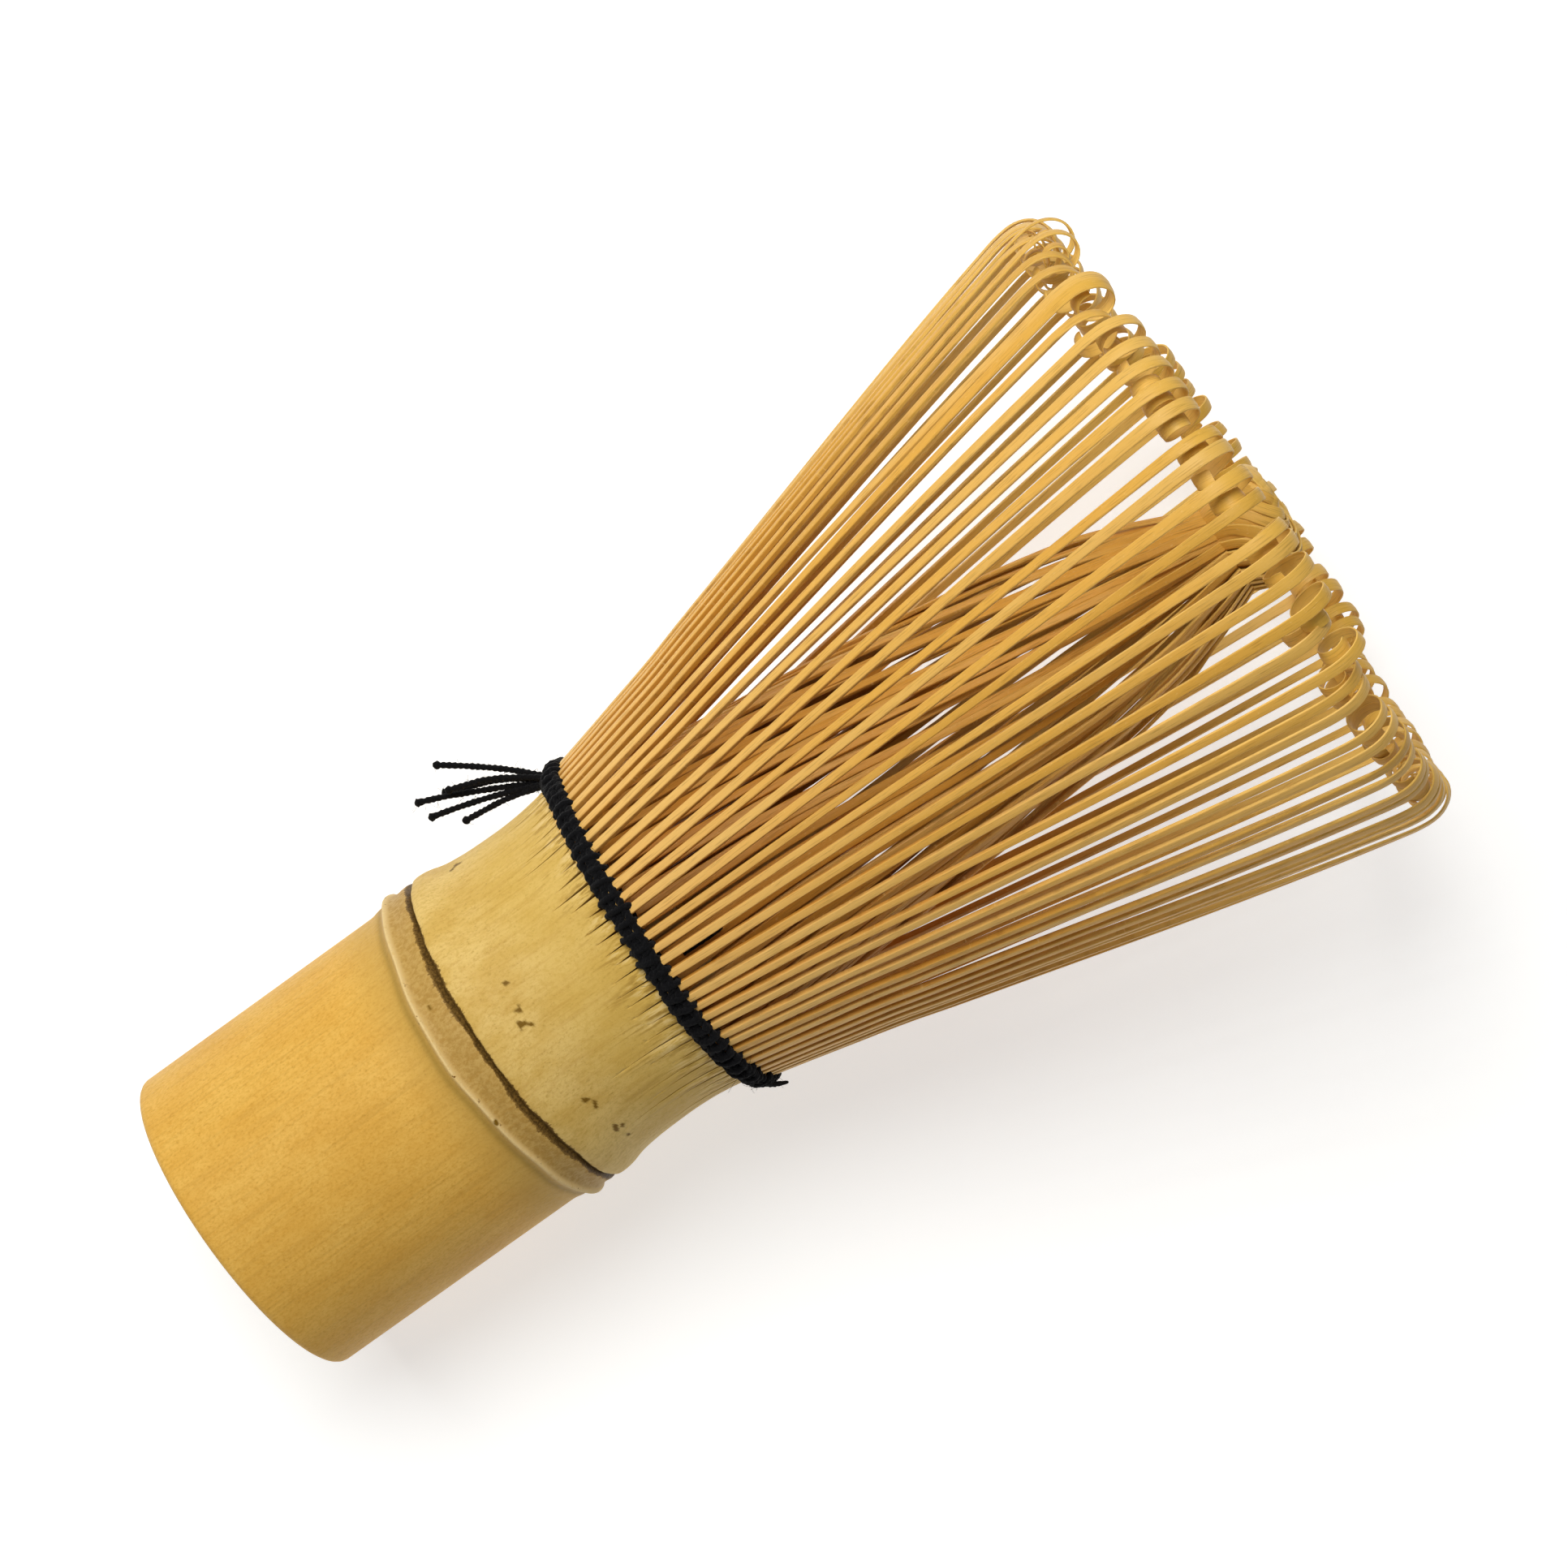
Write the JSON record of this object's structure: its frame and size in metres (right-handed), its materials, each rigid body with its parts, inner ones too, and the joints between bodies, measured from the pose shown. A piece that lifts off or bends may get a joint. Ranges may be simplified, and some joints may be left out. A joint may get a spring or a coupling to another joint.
{
  "type": "bamboo tea whisk",
  "caption": "Hand-held tea whisk carved from one bamboo culm: plain handle, node, split collar, a flaring ring of curled outer tines round a twisted inner bundle, bound with thread.",
  "frame": {"origin": "centre of the handle's flat lower end", "axes": "+Z along the culm's axis, from the handle's end to the tines' tips; -X is the side of the thread's knot"},
  "size_m": [0.0666, 0.0666, 0.116],
  "materials": {
    "culm_skin": "satin bamboo skin",
    "culm_node": "scraped bamboo node, matt",
    "culm_pith": "cut bamboo, matt",
    "collar_skin": "satin bamboo skin",
    "outer_tine": "shaved bamboo, satin",
    "inner_tine": "shaved bamboo, satin",
    "thread": "twisted cotton thread, matt"
  },
  "bodies": {
    "root": {"handle_culm": "culm_skin", "node_ring": "culm_node", "node_diaphragm": "culm_pith", "split_collar": "collar_skin", "inner_tines_01": "inner_tine", "inner_tines_02": "inner_tine", "inner_tines_03": "inner_tine", "inner_tines_04": "inner_tine", "inner_tines_05": "inner_tine", "inner_tines_06": "inner_tine", "inner_tines_07": "inner_tine", "inner_tines_08": "inner_tine", "inner_tines_09": "inner_tine", "inner_tines_10": "inner_tine", "inner_tines_11": "inner_tine", "inner_tines_12": "inner_tine", "inner_tines_13": "inner_tine", "inner_tines_14": "inner_tine", "inner_tines_15": "inner_tine", "inner_tines_16": "inner_tine", "inner_tuft": "inner_tine", "thread_row_1": "thread", "thread_row_2": "thread", "thread_row_3": "thread", "thread_inner_row": "thread", "thread_knot": "thread", "thread_tail_1": "thread", "thread_tail_2": "thread", "thread_tail_3": "thread", "thread_tail_4": "thread", "thread_tail_5": "thread", "thread_tail_6": "thread"},
    "tines_01": {"outer_tines_01": "outer_tine"},
    "tines_02": {"outer_tines_02": "outer_tine"},
    "tines_03": {"outer_tines_03": "outer_tine"},
    "tines_04": {"outer_tines_04": "outer_tine"},
    "tines_05": {"outer_tines_05": "outer_tine"},
    "tines_06": {"outer_tines_06": "outer_tine"},
    "tines_07": {"outer_tines_07": "outer_tine"},
    "tines_08": {"outer_tines_08": "outer_tine"},
    "tines_09": {"outer_tines_09": "outer_tine"},
    "tines_10": {"outer_tines_10": "outer_tine"},
    "tines_11": {"outer_tines_11": "outer_tine"},
    "tines_12": {"outer_tines_12": "outer_tine"},
    "tines_13": {"outer_tines_13": "outer_tine"},
    "tines_14": {"outer_tines_14": "outer_tine"},
    "tines_15": {"outer_tines_15": "outer_tine"},
    "tines_16": {"outer_tines_16": "outer_tine"}
  },
  "joints": [
    {"name": "flex_01", "type": "hinge", "parent": "root", "child": "tines_01", "pos_m": [0.01655, 0, 0.048], "axis": [0, 1, 0], "range_deg": [-1.5, 6], "stiffness_Nm_per_rad": 0.0166},
    {"name": "flex_02", "type": "hinge", "parent": "root", "child": "tines_02", "pos_m": [0.01529, 0.00633, 0.048], "axis": [-0.3827, 0.9239, 0], "range_deg": [-1.5, 6], "stiffness_Nm_per_rad": 0.0166},
    {"name": "flex_03", "type": "hinge", "parent": "root", "child": "tines_03", "pos_m": [0.0117, 0.0117, 0.048], "axis": [-0.7071, 0.7071, 0], "range_deg": [-1.5, 6], "stiffness_Nm_per_rad": 0.0166},
    {"name": "flex_04", "type": "hinge", "parent": "root", "child": "tines_04", "pos_m": [0.00633, 0.01529, 0.048], "axis": [-0.9239, 0.3827, 0], "range_deg": [-1.5, 6], "stiffness_Nm_per_rad": 0.0166},
    {"name": "flex_05", "type": "hinge", "parent": "root", "child": "tines_05", "pos_m": [0, 0.01655, 0.048], "axis": [-1, 0, 0], "range_deg": [-1.5, 6], "stiffness_Nm_per_rad": 0.0166},
    {"name": "flex_06", "type": "hinge", "parent": "root", "child": "tines_06", "pos_m": [-0.00633, 0.01529, 0.048], "axis": [-0.9239, -0.3827, 0], "range_deg": [-1.5, 6], "stiffness_Nm_per_rad": 0.0166},
    {"name": "flex_07", "type": "hinge", "parent": "root", "child": "tines_07", "pos_m": [-0.0117, 0.0117, 0.048], "axis": [-0.7071, -0.7071, 0], "range_deg": [-1.5, 6], "stiffness_Nm_per_rad": 0.0166},
    {"name": "flex_08", "type": "hinge", "parent": "root", "child": "tines_08", "pos_m": [-0.01529, 0.00633, 0.048], "axis": [-0.3827, -0.9239, 0], "range_deg": [-1.5, 6], "stiffness_Nm_per_rad": 0.0166},
    {"name": "flex_09", "type": "hinge", "parent": "root", "child": "tines_09", "pos_m": [-0.01655, 0, 0.048], "axis": [0, -1, 0], "range_deg": [-1.5, 6], "stiffness_Nm_per_rad": 0.0166},
    {"name": "flex_10", "type": "hinge", "parent": "root", "child": "tines_10", "pos_m": [-0.01529, -0.00633, 0.048], "axis": [0.3827, -0.9239, 0], "range_deg": [-1.5, 6], "stiffness_Nm_per_rad": 0.0166},
    {"name": "flex_11", "type": "hinge", "parent": "root", "child": "tines_11", "pos_m": [-0.0117, -0.0117, 0.048], "axis": [0.7071, -0.7071, 0], "range_deg": [-1.5, 6], "stiffness_Nm_per_rad": 0.0166},
    {"name": "flex_12", "type": "hinge", "parent": "root", "child": "tines_12", "pos_m": [-0.00633, -0.01529, 0.048], "axis": [0.9239, -0.3827, 0], "range_deg": [-1.5, 6], "stiffness_Nm_per_rad": 0.0166},
    {"name": "flex_13", "type": "hinge", "parent": "root", "child": "tines_13", "pos_m": [0, -0.01655, 0.048], "axis": [1, 0, 0], "range_deg": [-1.5, 6], "stiffness_Nm_per_rad": 0.0166},
    {"name": "flex_14", "type": "hinge", "parent": "root", "child": "tines_14", "pos_m": [0.00633, -0.01529, 0.048], "axis": [0.9239, 0.3827, 0], "range_deg": [-1.5, 6], "stiffness_Nm_per_rad": 0.0166},
    {"name": "flex_15", "type": "hinge", "parent": "root", "child": "tines_15", "pos_m": [0.0117, -0.0117, 0.048], "axis": [0.7071, 0.7071, 0], "range_deg": [-1.5, 6], "stiffness_Nm_per_rad": 0.0166},
    {"name": "flex_16", "type": "hinge", "parent": "root", "child": "tines_16", "pos_m": [0.01529, -0.00633, 0.048], "axis": [0.3827, 0.9239, 0], "range_deg": [-1.5, 6], "stiffness_Nm_per_rad": 0.0166}
  ]
}
